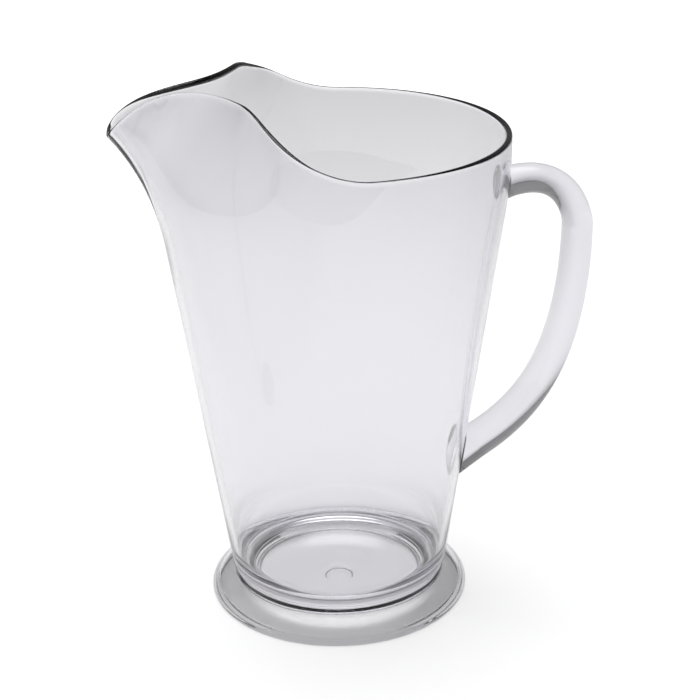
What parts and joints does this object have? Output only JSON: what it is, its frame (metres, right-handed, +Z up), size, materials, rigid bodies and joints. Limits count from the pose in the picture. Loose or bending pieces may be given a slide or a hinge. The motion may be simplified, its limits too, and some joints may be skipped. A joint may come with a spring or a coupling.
{
  "type": "beer pitcher",
  "caption": "Clear plastic beer pitcher: tapered round body with a raised, pinched pouring spout, a flared foot ring and a bonded loop handle, for serving draught beer.",
  "frame": {"origin": "on the body axis, in the plane of the ring the foot rests on", "axes": "+Z up along the body axis, the spout points along -X and the handle along +X"},
  "size_m": [0.1909, 0.14, 0.2196],
  "materials": {
    "body_clear": "clear, polished",
    "foot_clear": "clear, polished",
    "handle_clear": "clear, polished"
  },
  "bodies": {
    "root": {"body": "body_clear", "foot": "foot_clear", "handle": "handle_clear"}
  },
  "joints": []
}
